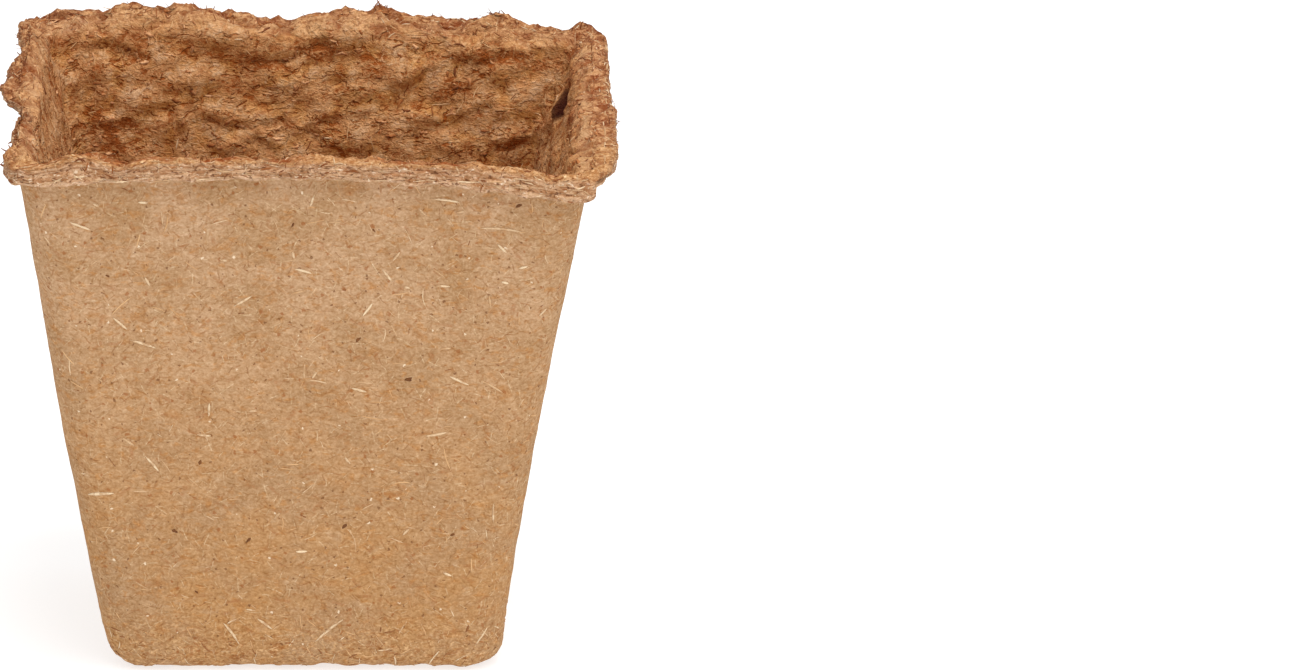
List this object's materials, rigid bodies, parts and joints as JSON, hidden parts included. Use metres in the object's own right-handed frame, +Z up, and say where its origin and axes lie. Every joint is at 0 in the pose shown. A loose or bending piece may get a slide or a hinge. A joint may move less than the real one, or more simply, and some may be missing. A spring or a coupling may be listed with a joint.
{
  "type": "square peat pot",
  "caption": "Square tapered plant pot moulded from wood and peat pulp, with a turned-out lip, a drain hole and pale slivers pressed into its felt",
  "frame": {"origin": "centre of the underside, on the surface the pot stands on", "axes": "+Z up through the mouth; the front wall faces -Y; +X to the right seen from the front"},
  "size_m": [0.08, 0.08, 0.073],
  "materials": {
    "pulp": "matte moulded wood-and-peat pulp",
    "pale_wood": "raw pale splinter",
    "bark": "dark bark fleck"
  },
  "bodies": {
    "root": {"pulp_shell": "pulp", "wall_slivers": "pale_wood", "inner_slivers": "pale_wood", "lip_slivers": "pale_wood", "bark_flecks": "bark", "inner_bark_flecks": "bark"}
  },
  "joints": []
}
